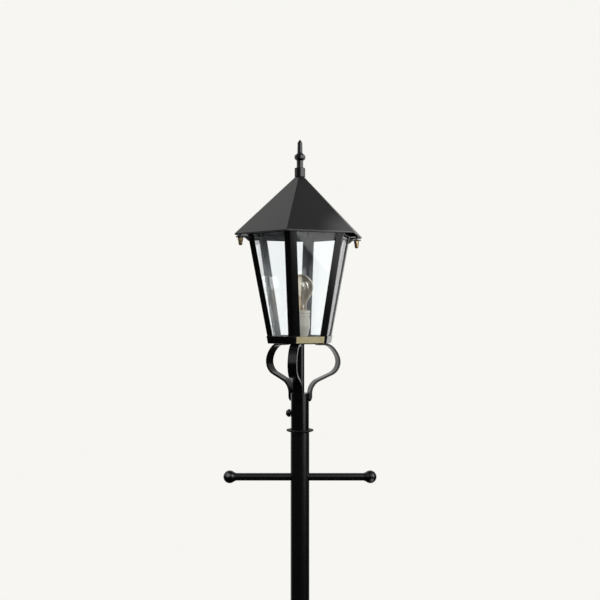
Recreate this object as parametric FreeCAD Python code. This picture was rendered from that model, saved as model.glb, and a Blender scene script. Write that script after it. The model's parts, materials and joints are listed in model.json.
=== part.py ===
import FreeCAD, Part
import math
import os

from FreeCAD import Vector

# Post top lantern: a six-sided glazed lantern head on a round garden post.
# Millimetres, +Z up, origin on the ground under the post's axis, ladder bar along X.
# A bearing is an angle in degrees about +Z, counted from -Y towards +X.
# The head's pieces are drawn with a cage corner on bearing 0, then turned by head_turn.

# Clearances
running_gap = 0.3        # between pieces that move against each other
seat_gap = 0.1           # between a piece and its seat in the same body
rest_gap = 0.3           # under the roof where it rests on the top band

# Post and base
post_diameter = 42.4
post_wall = 2.6
post_height = 593.4      # upper edge of the tube above the ground
post_edge_round = 1.5
flange_diameter = 200.0
flange_thickness = 10.0
flange_edge = 2.5
cable_bore = 30.0
anchor_circle = 156.0
anchor_hole = 11.0
anchor_count = 4
hub_foot_diameter = 84.0
hub_top_diameter = 54.0
hub_height = 32.0
hub_rim = 6.0            # straight rim at the hub's top

# Spigot and collar between post and head
spigot_plug_length = 60.0
spigot_bore = 26.0
spigot_reach = 68.0      # above the collar
spigot_chamfer = 2.0
collar_diameter = 61.2
collar_thickness = 4.6
collar_foot_diameter = 49.0
collar_edge = 0.9

# Ladder bar
bar_diameter = 17.0
bar_drop = 102.0         # bar axis below the post's upper edge
ball_diameter = 28.6
ball_reach = 158.0       # ball centre from the post axis
ball_neck_diameter = 20.0
ball_neck_length = 3.0
bar_socket = 11.0        # depth of the bar's socket in the ball

# Sleeve, its cap and the conduit
sleeve_diameter = 41.0
sleeve_wall = 3.0
sleeve_length = 82.5
cap_plate_thickness = 5.0
conduit_diameter = 20.0
conduit_wall = 1.5
conduit_end = 7.0        # conduit above the tray floor
locknut_flats = 27.0
locknut_height = 5.0

# Clamp screw through the sleeve
clamp_bearing = -90.0
clamp_rise = 36.9        # screw's axis above the collar
clamp_shank = 8.0
clamp_head_diameter = 18.0
clamp_head_height = 10.0
clamp_head_rim = 2.2
clamp_socket_flats = 5.0
clamp_socket_depth = 3.5
clamp_washer_diameter = 15.0
clamp_washer_thickness = 1.2

# Bracket arms, flat bar bent to an S
arm_width = 20.0
arm_thickness = 5.0
arm_rise = 111.5         # sleeve top to tray underside
arm_foot_length = 20.0   # below the sleeve top
arm_foot_round = 6.0
arm_foot_taper = 9.0
arm_foot_tip = 1.4       # thickness left at the foot's end
arm_weld = 0.4           # weld between foot and sleeve
arm_foot_bend = 30.0     # outer radii of the four bends
arm_belly_bend = 32.0
arm_flank_bend = 55.0
arm_shoulder_bend = 34.7
arm_shoulder_turn = 41.0
arm_flank_turn = 32.0
arm_slope = 22.9         # straight run below the belly, degrees from level
arm_reach = 94.8         # belly's outer face from the axis
arm_inner_end = 40.0     # upper end from the axis
arm_screw_reach = 47.0
arm_screw_diameter = 5.0
arm_screw_head = 9.0
arm_screw_head_height = 3.2

# Lantern cage
head_turn = -10.3        # bearing of the cage's front corner
cage_height = 239.5      # tray underside to the roof's lower edge
cage_foot_radius = 74.0  # corner radius over the posts at the tray underside
cage_eave_radius = 121.5 # the same at the roof's lower edge
sheet = 1.5
tray_height = 17.0
tray_edge_round = 1.2
corner_flange = 15.6
corner_sheet = 2.0
band_drop = 0.6          # band's lower edge above the roof's lower edge
pane_thickness = 3.0
pane_side_gap = 6.0      # pane edge from the inner corner line
pane_top_gap = 5.0       # pane's upper edge below the posts' top
clip_sheet = 0.8
clip_width = 8.0
clip_height = 9.0
clip_rise = 5.0          # clip above the roof's lower edge

# Name plate, bare
plate_length = 64.5
plate_width = 14.3
plate_thickness = 0.8
plate_corner = 1.2
plate_rise = 9.7         # plate's middle above the tray underside
pin_head_diameter = 3.2
pin_head_height = 0.7
pin_diameter = 1.6
pin_inset = 5.0

# Lugs, studs and cap nuts that hold the roof
lug_bearings = {"left": -60.0, "right": 120.0}
lug_width = 15.0
lug_thickness = 3.0
lug_drop = 2.9           # below the roof's lower edge
lug_end = 9.9            # rounded end beyond the stud's axis
lug_web_height = 7.0
lug_web_length = 8.0
lug_web_sheet = 3.0
stud_clear = 17.1        # stud's axis beyond the cage's corner
stud_diameter = 6.0
stud_head_diameter = 9.0
stud_head_height = 2.8
stud_plate_rise = 3.0    # plate's underside above the roof's lower edge
stud_plate_thickness = 2.5
stud_plate_back = 9.6    # plate's inner edge from the stud's axis
nut_washer_diameter = 12.6
nut_washer_thickness = 1.0
nut_flats = 11.0
nut_flats_height = 5.0
nut_height = 16.0
nut_shoulder_radius = 5.2
nut_tip_radius = 4.3
nut_tip_round = 3.2
nut_bore_depth = 13.2
stud_end_gap = 1.0

# Roof
eave_overhang = 13.4     # roof's corner beyond the stud's axis
eave_lip = 3.0
roof_height = 134.3      # lower edge to the flat under the finial
roof_top_radius = 11.0

# Finial, an eight-sided casting
finial_sides = 8
finial_turn = 7.5        # bearing of one of its edges
block_radius = 12.1
block_height = 20.1
block_chamfer = 0.6
neck_radius = 7.4
neck_flare = 0.9
neck_height = 16.4
bead_radius = 12.3
bead_under = 4.1
bead_side = 7.4
bead_over = 6.1
spike_foot_radius = 5.9
spike_head_radius = 5.4
spike_height = 23.6
spike_point = 6.4
spike_tip_radius = 0.3
finial_thread = 8.0
finial_thread_length = 18.0
finial_nut_flats = 13.0
finial_nut_height = 6.5

# Lampholder and its bracket
holder_rise = 14.0       # holder's foot above the tray underside
holder_height = 59.7
holder_radius = 22.7
holder_foot_radius = 17.0
holder_foot_height = 24.0
holder_mouth_radius = 19.4
holder_mouth_depth = 20.0
holder_rim_edge = 1.2
holder_groove = 1.0
holder_groove_places = (8.0, 15.8)   # below the rim
bracket_width = 22.0
bracket_half_span = 23.0
bracket_foot = 12.0
bracket_screw = 4.0
bracket_screw_head = 7.0
bracket_screw_head_height = 2.4
nipple_diameter = 10.0
nipple_bore = 7.0
nipple_reach = 12.0      # into the holder
nipple_tail = 4.0        # below the bracket
nipple_nut_flats = 14.0
nipple_nut_height = 2.5
shell_wall = 0.6
shell_length = 21.0
contact_width = 6.0
contact_sheet = 0.8
contact_rise = 4.0       # bulb's tip above the floor of the holder's bore

# Bulb
bulb_crown_rise = 155.4  # top of the glass above the tray underside
bulb_radius = 30.2
bulb_cone = 30.0         # glass under the sphere, degrees from upright
bulb_throat = 12.0       # radius of the bend into the neck
bulb_neck_radius = 14.8
bulb_root_radius = 12.4
bulb_wall = 0.9
bulb_length = 112.0
cap_radius = 13.2
cap_length = 27.0
cap_tip_radius = 5.0
cap_tip_height = 1.0
cap_cone_radius = 11.5
cap_cone_height = 4.0
cap_recess = 3.0
stem_flare_radius = 10.6
stem_flare_height = 14.0
stem_tube_radius = 2.6
stem_height = 36.0
stem_button_radius = 3.4
wire_radius = 0.4
filament_spread = 13.0
filament_rise = 50.0     # above the screw cap's rim
filament_sag = 5.0

# Heights and radii that follow from the sizes above
cos_30 = math.cos(math.radians(30))
post_radius = post_diameter / 2
post_bore_radius = post_radius - post_wall
sleeve_radius = sleeve_diameter / 2
sleeve_bore_radius = sleeve_radius - sleeve_wall
spigot_radius = sleeve_bore_radius - running_gap
conduit_radius = conduit_diameter / 2
bar_height = post_height - bar_drop
collar_top = post_height + collar_thickness
clamp_height = collar_top + clamp_rise
sleeve_top = collar_top + sleeve_length
tray_base = sleeve_top + arm_rise
tray_floor = tray_base + sheet
eave = tray_base + cage_height
cage_slope = (cage_eave_radius - cage_foot_radius) / cage_height
face_tilt = math.atan(cage_slope * cos_30)
stud_reach = cage_eave_radius + stud_clear
eave_radius = stud_reach + eave_overhang
roof_slope = (roof_height - eave_lip) / (eave_radius - roof_top_radius)
roof_tilt = math.atan(roof_slope / cos_30)
roof_top = eave + roof_height
lug_top = eave - lug_drop
lug_reach = stud_reach + lug_end
nut_top = lug_top - lug_thickness - nut_washer_thickness
holder_foot = tray_base + holder_rise
holder_rim = holder_foot + holder_height
bulb_crown = tray_base + bulb_crown_rise
bulb_tip = bulb_crown - bulb_length
cap_rim = bulb_tip + cap_length
holder_floor = bulb_tip - contact_rise
shell_radius = cap_radius + running_gap + shell_wall

origin = Vector(0, 0, 0)
up = Vector(0, 0, 1)
corner_names = {0: "front", 60: "right_front", 120: "right_rear", 180: "rear", 240: "left_rear", 300: "left_front"}
face_names = {30: "front_right", 90: "right", 150: "rear_right", 210: "rear_left", 270: "left", 330: "front_left"}
arm_names = {0: "front", 120: "right", 240: "left"}


def sine(degrees):
    return math.sin(math.radians(degrees))


def cosine(degrees):
    return math.cos(math.radians(degrees))


# Shared shapes

def toward(bearing, distance, height=0.0):
    """Point at a distance from the axis on a bearing."""
    return Vector(distance * sine(bearing), -distance * cosine(bearing), height)


def turned(shape, bearing):
    """Copy of a shape, turned about the axis."""
    return shape.rotated(origin, up, bearing)


def face_of(points):
    return Part.Face(Part.makePolygon(points + [points[0]]))


def disc(radius, low, high, centre=origin):
    """Upright cylinder between two heights."""
    return Part.makeCylinder(radius, high - low, Vector(centre.x, centre.y, low))


def ring(outer, inner, low, high, centre=origin):
    return disc(outer, low, high, centre).cut(disc(inner, low - 1, high + 1, centre))


def lathe(points, centre=origin):
    """Solid turned about an upright axis from (radius, height) corners."""
    profile = face_of([Vector(radius, 0, height) for radius, height in points])
    solid = profile.revolve(origin, up, 360)
    solid.translate(Vector(centre.x, centre.y, 0))
    return solid


def stack(sides, sections, turn=0.0):
    """Flat-sided solid through level polygons given as (radius, height), a corner of each on the bearing turn."""
    rings = [[toward(turn + 360 * k / sides, radius, height) for k in range(sides)] for radius, height in sections]
    faces = [face_of(rings[0]), face_of(rings[-1])]
    for low, high in zip(rings, rings[1:]):
        for k in range(sides):
            after = (k + 1) % sides
            faces.append(face_of([low[k], low[after], high[after], high[k]]))
    return Part.makeSolid(Part.makeShell(faces))


def button(radius, low, high, centre=origin):
    """Round head with a bevelled upper edge."""
    bevel = (high - low) * 0.5
    return lathe([(0, low), (radius, low), (radius, high - bevel), (radius - bevel * 0.4, high - bevel * 0.3),
                  (radius - bevel, high), (0, high)], centre)


def hex_nut(flats, low, high, hole, centre=origin, turn=0.0):
    """Hexagon nut with turned-off corners and a round hole."""
    radius = flats / math.sqrt(3)
    chamfer = (radius - flats / 2) * 0.6
    prism = stack(6, [(radius, low), (radius, high)], turn)
    prism = prism.common(lathe([(0, low), (flats / 2, low), (radius, low + chamfer), (radius, high - chamfer),
                                (flats / 2, high), (0, high)]))
    prism = prism.cut(disc(hole / 2, low - 1, high + 1))
    prism.translate(Vector(centre.x, centre.y, 0))
    return prism


def cage_radius(height, inset=0.0):
    """Corner radius of the cage at a height, with its faces moved in by inset."""
    outer = cage_foot_radius + cage_slope * (height - tray_base)
    return outer - inset / (math.cos(face_tilt) * cos_30)


def cage_solid(low, high, inset=0.0):
    return stack(6, [(cage_radius(low, inset), low), (cage_radius(high, inset), high)])


def roof_solid(inset=0.0, base=eave):
    """The roof filled in, with its faces moved in by inset and its lip carried down to base."""
    drop = inset / math.cos(roof_tilt)
    radius = eave_radius - inset / cos_30
    fold = eave + eave_lip + (eave_radius - radius) * roof_slope - drop
    top_radius = roof_top_radius + (inset - drop) / roof_slope
    return stack(6, [(radius, base), (radius, fold), (top_radius, roof_top - inset)])


def cage_top():
    """Height where the top band's outer edge meets the roof's underside, less the rest gap."""
    band_radius = cage_radius(eave, -sheet)
    drop = sheet / math.cos(roof_tilt)
    rise = eave_lip + (eave_radius - band_radius) * roof_slope - drop - rest_gap
    return eave + rise / (1 + roof_slope * cage_slope)


def face_point(bearing, height, sideways, depth):
    """Point on or behind a cage face: sideways along it, depth inwards."""
    apothem = cage_radius(height) * cos_30
    outward = toward(bearing, 1)
    level = toward(bearing + 90, 1)
    inward = up * math.sin(face_tilt) - outward * math.cos(face_tilt)
    return toward(bearing, apothem, height) + level * sideways + inward * depth


def face_block(bearing, low, high, low_sides, high_sides, near, far):
    """Block on a cage face between two heights, from depth near to depth far."""
    corners = [face_point(bearing, low, low_sides[0], near), face_point(bearing, low, low_sides[1], near),
               face_point(bearing, high, high_sides[1], near), face_point(bearing, high, high_sides[0], near)]
    thickness = face_point(bearing, low, 0, far) - face_point(bearing, low, 0, near)
    return face_of(corners).extrude(thickness)


def face_pin(bearing, height, sideways, radius, near, far):
    """Round pin square to a cage face."""
    start = face_point(bearing, height, sideways, near)
    line = face_point(bearing, height, sideways, far) - start
    return Part.makeCylinder(radius, line.Length, start, line)


# Post and base

def base_flange():
    edge = flange_diameter / 2
    plate = lathe([(0, 0), (edge, 0), (edge, flange_thickness - flange_edge),
                   (edge - flange_edge, flange_thickness), (0, flange_thickness)])
    holes = [disc(cable_bore / 2, -1, flange_thickness + 1)]
    for k in range(anchor_count):
        centre = toward(45 + 360 * k / anchor_count, anchor_circle / 2)
        holes.append(disc(anchor_hole / 2, -1, flange_thickness + 1, centre))
    return plate.cut(holes)


def base_hub():
    low = flange_thickness
    high = low + hub_height
    cone = lathe([(0, low), (hub_foot_diameter / 2, low), (hub_foot_diameter / 2, low + hub_rim / 2),
                  (hub_top_diameter / 2, high - hub_rim), (hub_top_diameter / 2, high), (0, high)])
    return cone.cut(disc(post_radius + seat_gap, low - 1, high + 1))


def post_tube():
    tube = ring(post_radius, post_bore_radius, flange_thickness, post_height)
    rim = [edge for edge in tube.Edges if edge.BoundBox.ZMin > post_height - 0.01
           and edge.BoundBox.XLength > post_bore_radius + post_radius]
    tube = tube.makeFillet(min(post_edge_round, post_wall * 0.8), rim)
    hole = Part.makeCylinder(bar_diameter / 2 + seat_gap, post_diameter * 2,
                             Vector(-post_diameter, 0, bar_height), Vector(1, 0, 0))
    return tube.cut(hole)


def post_spigot():
    low = post_height - spigot_plug_length
    high = collar_top + spigot_reach
    plug_radius = post_bore_radius - seat_gap
    body = lathe([(0, low), (plug_radius, low), (plug_radius, post_height), (spigot_radius, post_height),
                  (spigot_radius, high - spigot_chamfer), (spigot_radius - spigot_chamfer, high), (0, high)])
    return body.cut(disc(spigot_bore / 2, low - 1, high + 1))


def collar_ring():
    outer = collar_diameter / 2
    edge = min(collar_edge, collar_thickness * 0.25)
    side = post_height + collar_thickness * 0.4
    blank = lathe([(0, post_height), (collar_foot_diameter / 2, post_height), (outer - edge, side - edge / 3),
                   (outer, side + edge), (outer, collar_top - edge), (outer - edge, collar_top), (0, collar_top)])
    return blank.cut(disc(spigot_radius + running_gap, post_height - 1, collar_top + 1))


def bar_end():
    """Distance of the ladder bar's end from the post axis."""
    return ball_reach - ball_diameter / 2 + bar_socket


def ladder_bar():
    return Part.makeCylinder(bar_diameter / 2, bar_end() * 2, Vector(-bar_end(), 0, bar_height), Vector(1, 0, 0))


def bar_ball(side):
    """Ball with a short neck and a socket for the bar; side is 1 towards +X and -1 towards -X."""
    outward = Vector(side, 0, 0)
    neck_start = ball_reach - ball_diameter / 2 - ball_neck_length / 2
    ball = Part.makeSphere(ball_diameter / 2, Vector(side * ball_reach, 0, bar_height))
    neck = Part.makeCylinder(ball_neck_diameter / 2, ball_diameter / 2,
                             Vector(side * neck_start, 0, bar_height), outward)
    socket = Part.makeCylinder(bar_diameter / 2 + seat_gap, bar_end() + seat_gap, Vector(0, 0, bar_height), outward)
    return ball.fuse(neck).cut(socket)


# Sleeve, conduit and clamp

def clamp_rod(radius, start, length):
    """Cylinder along the clamp screw's axis, from a distance off the post axis."""
    return Part.makeCylinder(radius, length, toward(clamp_bearing, start, clamp_height), toward(clamp_bearing, 1))


def sleeve_tube():
    tube = ring(sleeve_radius, sleeve_bore_radius, collar_top, sleeve_top)
    return tube.cut(clamp_rod(clamp_shank / 2 + running_gap, 0, sleeve_diameter))


def sleeve_cap():
    return ring(sleeve_bore_radius - seat_gap, conduit_radius + seat_gap,
                sleeve_top - cap_plate_thickness, sleeve_top)


def conduit_tube():
    return ring(conduit_radius, conduit_radius - conduit_wall, sleeve_top - cap_plate_thickness,
                tray_floor + conduit_end)


def conduit_locknut():
    return hex_nut(locknut_flats, tray_floor, tray_floor + locknut_height, conduit_diameter + 2 * seat_gap)


def clamp_washer():
    start = sleeve_radius + running_gap
    plate = clamp_rod(clamp_washer_diameter / 2, start, clamp_washer_thickness)
    return plate.cut(clamp_rod(clamp_shank / 2 + running_gap, 0, sleeve_diameter))


def clamp_screw():
    """Dome head with a hexagon socket, and a shank that reaches the spigot."""
    seat = sleeve_radius + running_gap + clamp_washer_thickness
    rim_radius = clamp_head_diameter / 2
    crown = clamp_head_height - clamp_head_rim
    dome_radius = (rim_radius ** 2 + crown ** 2) / (2 * crown)
    centre = toward(clamp_bearing, seat + clamp_head_height - dome_radius, clamp_height)
    head = clamp_rod(rim_radius, seat, clamp_head_height).common(Part.makeSphere(dome_radius, centre))
    tip = spigot_radius + running_gap
    shank = clamp_rod(clamp_shank / 2, tip, seat - tip + 1)
    socket = stack(6, [(clamp_socket_flats / math.sqrt(3), 0), (clamp_socket_flats / math.sqrt(3), clamp_head_height)])
    socket.rotate(origin, Vector(1, 0, 0), 90)
    socket = turned(socket, clamp_bearing)
    socket.translate(toward(clamp_bearing, seat + clamp_head_height - clamp_socket_depth, clamp_height))
    return head.fuse(shank).cut(socket)


# Bracket arms

def arm_curves(inset):
    """Lines and arcs of the arm's face moved in by inset, from its upper end to its foot, in the X-Z plane."""
    top = tray_base - inset
    flank_start = arm_shoulder_turn
    belly_start = arm_shoulder_turn + arm_flank_turn
    bends = [(arm_shoulder_bend - inset, 0, flank_start), (arm_flank_bend - inset, flank_start, belly_start),
             (arm_belly_bend - inset, belly_start, 180 - arm_slope)]
    reach_of_bends = (bends[0][0] * sine(flank_start) + bends[1][0] * (sine(belly_start) - sine(flank_start))
                      + bends[2][0] * (1 - sine(belly_start)))
    point = Vector(arm_reach - inset - reach_of_bends, 0, top)
    curves = [Part.LineSegment(Vector(arm_inner_end, 0, top), point)]
    for radius, start, end in bends:
        centre = point - Vector(sine(start), 0, cosine(start)) * radius
        middle = (start + end) / 2
        finish = centre + Vector(sine(end), 0, cosine(end)) * radius
        curves.append(Part.Arc(point, centre + Vector(sine(middle), 0, cosine(middle)) * radius, finish))
        point = finish
    # a straight run, then the reverse bend that ends upright beside the sleeve
    foot_x = sleeve_radius + arm_weld + arm_thickness - inset
    bend = arm_foot_bend + inset
    bend_start_x = foot_x + bend * (1 - sine(arm_slope))
    run = (point.x - bend_start_x) / cosine(arm_slope)
    bend_start = point - Vector(cosine(arm_slope), 0, sine(arm_slope)) * run
    centre = bend_start - Vector(-sine(arm_slope), 0, cosine(arm_slope)) * bend
    middle = (arm_slope + 90) / 2
    bend_end = Vector(foot_x, 0, centre.z)
    curves.append(Part.LineSegment(point, bend_start))
    curves.append(Part.Arc(bend_start, centre + Vector(-sine(middle), 0, cosine(middle)) * bend, bend_end))
    foot = sleeve_top - arm_foot_length
    taper = arm_foot_taper * (1 - inset / arm_thickness)
    curves.append(Part.LineSegment(bend_end, Vector(foot_x, 0, foot + taper)))
    return curves


def bracket_arm(bearing):
    """Flat bar bent to an S, its tapered foot on the sleeve and its upper end under the tray."""
    outer = arm_curves(0.0)
    inner = arm_curves(arm_thickness)
    foot = sleeve_top - arm_foot_length
    tip = Vector(sleeve_radius + arm_weld + arm_foot_tip, 0, foot)
    ends = [Part.LineSegment(outer[0].StartPoint, inner[0].StartPoint),
            Part.LineSegment(outer[-1].EndPoint, tip), Part.LineSegment(tip, inner[-1].EndPoint)]
    outline = Part.Wire(Part.__sortEdges__([curve.toShape() for curve in outer + inner + ends]))
    bar = Part.Face(outline).extrude(Vector(0, arm_width, 0))
    bar.translate(Vector(0, -arm_width / 2, 0))
    # the foot's lower corners are rounded
    side = arm_width / 2 - arm_foot_round
    depth = sleeve_radius + arm_thickness * 2
    mask = Part.makeBox(arm_reach * 2, arm_width, cage_height, Vector(0, -arm_width / 2, foot + arm_foot_round))
    mask = mask.fuse(Part.makeBox(depth, side * 2, arm_foot_round, Vector(0, -side, foot)))
    for corner in (-side, side):
        mask = mask.fuse(Part.makeCylinder(arm_foot_round, depth, Vector(0, corner, foot + arm_foot_round),
                                           Vector(1, 0, 0)))
    bar = bar.common(mask)
    bar = bar.cut(disc(arm_screw_diameter / 2 + seat_gap, tray_base - arm_thickness - 1, tray_base + 1,
                       Vector(arm_screw_reach, 0, 0)))
    return turned(bar, bearing - 90)


def arm_weld_bead(bearing):
    """Weld metal between an arm's flat foot and the round sleeve."""
    low = sleeve_top - arm_foot_length + arm_foot_round
    width = arm_width - 1.0
    bead = Part.makeBox(sleeve_radius / 2 + arm_weld, width, sleeve_top - low, Vector(sleeve_radius / 2, -width / 2, low))
    return turned(bead.cut(disc(sleeve_radius, low - 1, sleeve_top + 1)), bearing - 90)


def arm_screw(bearing):
    centre = toward(bearing, arm_screw_reach)
    head = button(arm_screw_head / 2, tray_floor, tray_floor + arm_screw_head_height, centre)
    return head.fuse(disc(arm_screw_diameter / 2, tray_base - arm_thickness, tray_floor + 1, centre))


# Lantern cage

def base_tray():
    """Shallow six-sided sheet tray that closes the cage below."""
    high = tray_base + tray_height
    fold = min(tray_edge_round, sheet * 0.9)
    foot = cage_radius(tray_base, -sheet)
    blank = stack(6, [(foot - fold, tray_base), (foot - fold * 0.3, tray_base + fold * 0.3),
                      (cage_radius(tray_base + fold, -sheet), tray_base + fold), (cage_radius(high, -sheet), high)])
    holes = [cage_solid(tray_floor, high + 1), disc(conduit_radius + seat_gap, tray_base - 1, tray_floor + 1)]
    for bearing in arm_names:
        holes.append(disc(arm_screw_diameter / 2 + seat_gap, tray_base - 1, tray_floor + 1,
                          toward(bearing, arm_screw_reach)))
    for side in (-1, 1):
        holes.append(disc(bracket_screw / 2 + seat_gap, tray_base - 1, tray_floor + 1, bracket_screw_place(side)))
        holes.append(face_pin(30, tray_base + plate_rise, side * pin_place(), pin_diameter / 2 + seat_gap,
                              -sheet - 1, 0))
    return blank.cut(holes)


def corner_post(bearing):
    """Folded angle that leans outwards along one corner of the cage."""
    low = tray_floor
    radius = cage_radius(low)
    depth = corner_sheet / math.cos(face_tilt)
    corner = toward(bearing, radius, low)
    inner_corner = toward(bearing, radius - depth / cos_30, low)
    outline = [inner_corner]
    for side in (-1, 1):
        along = toward(bearing + side * 120, 1)
        inward = toward(bearing + side * 30, -1)
        flange_end = corner + along * corner_flange
        pair = [flange_end + inward * depth, flange_end]
        outline += pair if side < 0 else [corner] + pair[::-1]
    rise = toward(bearing, cage_radius(cage_top()), cage_top()) - corner
    return face_of(outline).extrude(rise)


def top_band():
    low = eave + band_drop
    high = cage_top()
    return cage_solid(low, high, -sheet).cut(cage_solid(low - 1, high + 1))


def glass_pane(bearing):
    """Tapering pane behind the corner posts' flanges, standing on the tray floor."""
    near = corner_sheet + seat_gap
    low = tray_floor + seat_gap
    high = cage_top() - pane_top_gap
    half_low = cage_radius(low, near) / 2 - pane_side_gap
    half_high = cage_radius(high, near) / 2 - pane_side_gap
    return face_block(bearing, low, high, (-half_low, half_low), (-half_high, half_high),
                      near, near + pane_thickness)


def pane_clips(bearing):
    """Two bent clips that hold a pane's upper edge to the corner posts."""
    near = corner_sheet + seat_gap
    back = near + pane_thickness
    low = eave + clip_rise
    high = low + clip_height
    clips = []
    for side in (-1, 1):
        edges = []
        for height in (low, high):
            pane_edge = cage_radius(height, near) / 2 - pane_side_gap
            edges.append((side * (pane_edge + seat_gap), side * (pane_edge + seat_gap + clip_sheet)))
        leg = face_block(bearing, low, high, edges[0], edges[1], corner_sheet, back + clip_sheet)
        tabs = [(edge[0] - side * clip_width, edge[1]) for edge in edges]
        tab = face_block(bearing, low, high, tabs[0], tabs[1], back + seat_gap, back + clip_sheet)
        clips.append(leg.fuse(tab))
    return clips


def roof_lug(bearing):
    """Level plate on a corner post, with a web under its root and a hole for the roof's stud."""
    root = cage_radius(lug_top) - corner_flange
    low = lug_top - lug_thickness
    nose = lug_width / 2
    plate = Part.makeBox(lug_reach - nose - root, lug_width, lug_thickness, Vector(root, -nose, low))
    plate = plate.fuse(disc(nose, low, lug_top, Vector(lug_reach - nose, 0, 0)))
    web_root = cage_radius(low)
    web = face_of([Vector(root, 0, low), Vector(web_root + lug_web_length, 0, low),
                   Vector(web_root, 0, low - lug_web_height), Vector(root, 0, low - lug_web_height)])
    web = web.extrude(Vector(0, lug_web_sheet, 0))
    web.translate(Vector(0, -lug_web_sheet / 2, 0))
    lug = turned(plate.fuse(web), -90)
    lug = lug.cut([cage_solid(low - lug_web_height * 2, lug_top + 1),
                   disc(stud_diameter / 2 + running_gap, low - 1, lug_top + 1, toward(0, stud_reach))])
    return turned(lug, bearing)


def pin_place():
    """Distance of a name plate pin from the plate's middle."""
    return plate_length / 2 - pin_inset


def name_plate():
    half = plate_length / 2
    low = tray_base + plate_rise - plate_width / 2 * math.cos(face_tilt)
    high = tray_base + plate_rise + plate_width / 2 * math.cos(face_tilt)
    plate = face_block(30, low, high, (-half, half), (-half, half), -sheet - plate_thickness, -sheet)
    corners = [edge for edge in plate.Edges if abs(edge.Length - plate_thickness) < 0.01]
    plate = plate.makeFillet(plate_corner, corners)
    holes = [face_pin(30, tray_base + plate_rise, side * pin_place(), pin_diameter / 2 + seat_gap,
                      -sheet - plate_thickness - 1, 0) for side in (-1, 1)]
    return plate.cut(holes)


def plate_pin(side):
    outer = -sheet - plate_thickness
    height = tray_base + plate_rise
    rim = face_pin(30, height, side * pin_place(), pin_head_diameter / 2, outer - pin_head_height / 2, outer)
    crown = face_pin(30, height, side * pin_place(), pin_head_diameter / 3, outer - pin_head_height, outer)
    return rim.fuse([crown, face_pin(30, height, side * pin_place(), pin_diameter / 2, outer - pin_head_height / 2, 0)])


# Roof

def roof_shell():
    """Six-sided pyramid of folded sheet with a short upright lip, open below."""
    shell = roof_solid().cut(roof_solid(sheet, eave - 1))
    return shell.cut(disc(finial_thread / 2 + seat_gap, roof_top - sheet * 3, roof_top + 1))


def finial():
    """Eight-sided block, neck, bead and pointed spike, with a thread through the roof's flat top."""
    block = [(block_radius, 0), (block_radius, block_height - block_chamfer),
             (block_radius - block_chamfer, block_height)]
    shaft = [(neck_radius + neck_flare, block_height), (neck_radius, block_height + neck_flare * 3),
             (neck_radius, block_height + neck_height)]
    height = block_height + neck_height
    for radius, rise in ((bead_radius, bead_under), (bead_radius, bead_side), (spike_foot_radius, bead_over),
                         (spike_head_radius, spike_height), (spike_tip_radius, spike_point)):
        height += rise
        shaft.append((radius, height))
    lower, upper = [stack(finial_sides, [(radius, roof_top + rise) for radius, rise in sections], finial_turn)
                    for sections in (block, shaft)]
    body = lower.fuse(upper)
    return body.fuse(disc(finial_thread / 2, roof_top - finial_thread_length, roof_top + 1))


def finial_nut():
    high = roof_top - sheet
    return hex_nut(finial_nut_flats, high - finial_nut_height, high, finial_thread + 2 * seat_gap)


def stud_plate(bearing):
    """Plate set into a roof corner, with a hole for the stud."""
    low = eave + stud_plate_rise
    high = low + stud_plate_thickness
    inner = stud_reach - stud_plate_back
    slab = Part.makeBox(eave_radius, eave_radius * 2, stud_plate_thickness, Vector(inner, -eave_radius, low))
    plate = turned(slab, -90).common(roof_solid(sheet + seat_gap, low - 1))
    return turned(plate.cut(disc(stud_diameter / 2 + seat_gap, low - 1, high + 1, toward(0, stud_reach))), bearing)


def roof_stud(bearing):
    """Threaded stud with a flat head on its plate, reaching down into the cap nut."""
    centre = toward(bearing, stud_reach)
    seat = eave + stud_plate_rise + stud_plate_thickness
    low = nut_top - nut_bore_depth + stud_end_gap
    head = disc(stud_head_diameter / 2, seat, seat + stud_head_height, centre)
    return head.fuse(disc(stud_diameter / 2, low, seat + 1, centre))


def nut_washer(bearing):
    return ring(nut_washer_diameter / 2, stud_diameter / 2 + running_gap, nut_top, nut_top + nut_washer_thickness,
                toward(bearing, stud_reach))


def cap_nut(bearing):
    """Hexagon collar above a tapering cap with a rounded end, bored from above."""
    flats_low = nut_top - nut_flats_height
    low = nut_top - nut_height
    tip = min(nut_tip_round, nut_tip_radius * 0.9)
    rounding = [(nut_tip_radius - tip * (1 - sine(angle)), low + tip * (1 - cosine(angle)))
                for angle in (0, 22.5, 45, 67.5, 90)]
    cone = lathe([(0, low)] + rounding + [(nut_shoulder_radius, flats_low + 1), (0, flats_low + 1)])
    collar = hex_nut(nut_flats, flats_low, nut_top, stud_diameter + 2 * running_gap)
    nut = cone.fuse(collar).cut(disc(stud_diameter / 2 + running_gap, nut_top - nut_bore_depth, nut_top + 1))
    nut.translate(toward(bearing, stud_reach))
    return nut


# Lampholder

def bracket_screw_place(side):
    return Vector(side * (bracket_half_span + bracket_foot / 2), 0, 0)


def holder_bracket():
    """Bent strap that carries the lampholder over the conduit's locknut."""
    top = holder_foot
    span = bracket_half_span
    foot_end = span + bracket_foot
    outline = [(-foot_end, tray_floor), (-span + sheet, tray_floor), (-span + sheet, top - sheet),
               (span - sheet, top - sheet), (span - sheet, tray_floor), (foot_end, tray_floor),
               (foot_end, tray_floor + sheet), (span, tray_floor + sheet), (span, top), (-span, top),
               (-span, tray_floor + sheet), (-foot_end, tray_floor + sheet)]
    strap = face_of([Vector(x, 0, z) for x, z in outline]).extrude(Vector(0, bracket_width, 0))
    strap.translate(Vector(0, -bracket_width / 2, 0))
    holes = [disc(nipple_diameter / 2 + seat_gap, top - sheet - 1, top + 1)]
    for side in (-1, 1):
        holes.append(disc(bracket_screw / 2 + seat_gap, tray_floor - 1, tray_floor + sheet + 1,
                          bracket_screw_place(side)))
    return strap.cut(holes)


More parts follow.
